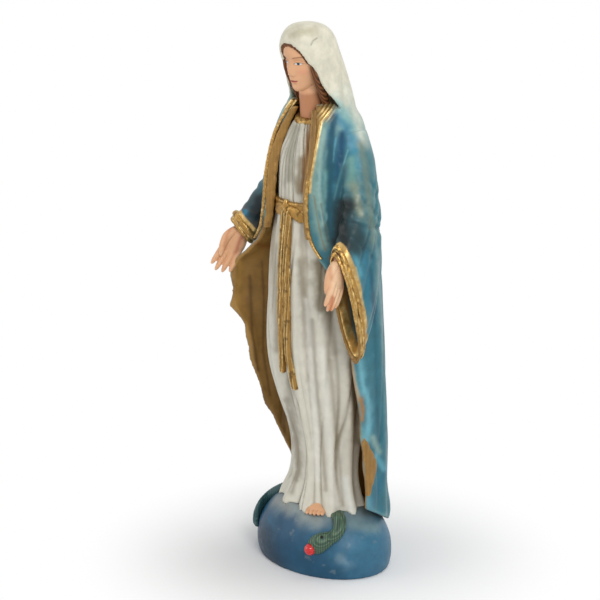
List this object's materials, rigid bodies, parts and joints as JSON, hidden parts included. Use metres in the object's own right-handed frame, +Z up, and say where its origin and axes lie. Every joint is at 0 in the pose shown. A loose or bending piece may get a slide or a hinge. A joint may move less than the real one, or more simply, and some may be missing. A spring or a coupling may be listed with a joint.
{
  "type": "madonna statue",
  "caption": "Standing veiled figure with open lowered hands on a half globe with a snake, a painted cast devotional statue",
  "frame": {"origin": "centre of the flat underside of the globe, on the surface that the statue stands on", "axes": "+Z up along the figure, -Y the way the figure faces, +X the figure's own left"},
  "size_m": [0.1124, 0.0751, 0.2994],
  "materials": {
    "globe_paint": "satin airbrushed paint on cast resin",
    "snake_paint": "satin paint with dry-brushed scales on cast resin",
    "apple_gloss": "gloss lacquer",
    "flesh_paint": "matt flesh paint on cast resin",
    "hair_paint": "matt brown paint on cast resin",
    "gilt_paint": "brushed-on metallic gold paint",
    "gown_paint": "satin off-white paint with brown airbrushed shade",
    "lining_paint": "satin ochre paint",
    "veil_paint": "satin cream paint fading to aqua",
    "mantle_paint": "satin airbrushed blue paint over aqua"
  },
  "bodies": {
    "root": {"apple": "apple_gloss", "collar_ruffle_left": "gilt_paint", "collar_ruffle_right": "gilt_paint", "cuff_rim_left": "gilt_paint", "cuff_rim_right": "gilt_paint", "cuff_roll_left": "gilt_paint", "cuff_roll_right": "gilt_paint", "foot_toes": "flesh_paint", "globe_base": "globe_paint", "gown_bodice": "gown_paint", "gown_neckband": "gilt_paint", "gown_skirt": "gown_paint", "hair_cap": "hair_paint", "hair_lock_left": "hair_paint", "hair_lock_right": "hair_paint", "hand_left": "flesh_paint", "hand_right": "flesh_paint", "head_and_neck": "flesh_paint", "lapel_lining_left": "lining_paint", "lapel_lining_right": "lining_paint", "mantle_body": "mantle_paint", "mantle_trim_left": "gilt_paint", "mantle_trim_right": "gilt_paint", "mantle_turned_corner": "lining_paint", "sash_belt": "gilt_paint", "sash_knot": "gilt_paint", "sash_loop_left": "gilt_paint", "sash_loop_right": "gilt_paint", "sash_tail_left": "gilt_paint", "sash_tail_right": "gilt_paint", "sleeve_left": "mantle_paint", "sleeve_right": "mantle_paint", "snake_body": "snake_paint", "snake_head": "snake_paint", "snake_tail": "snake_paint", "veil": "veil_paint"}
  },
  "joints": []
}
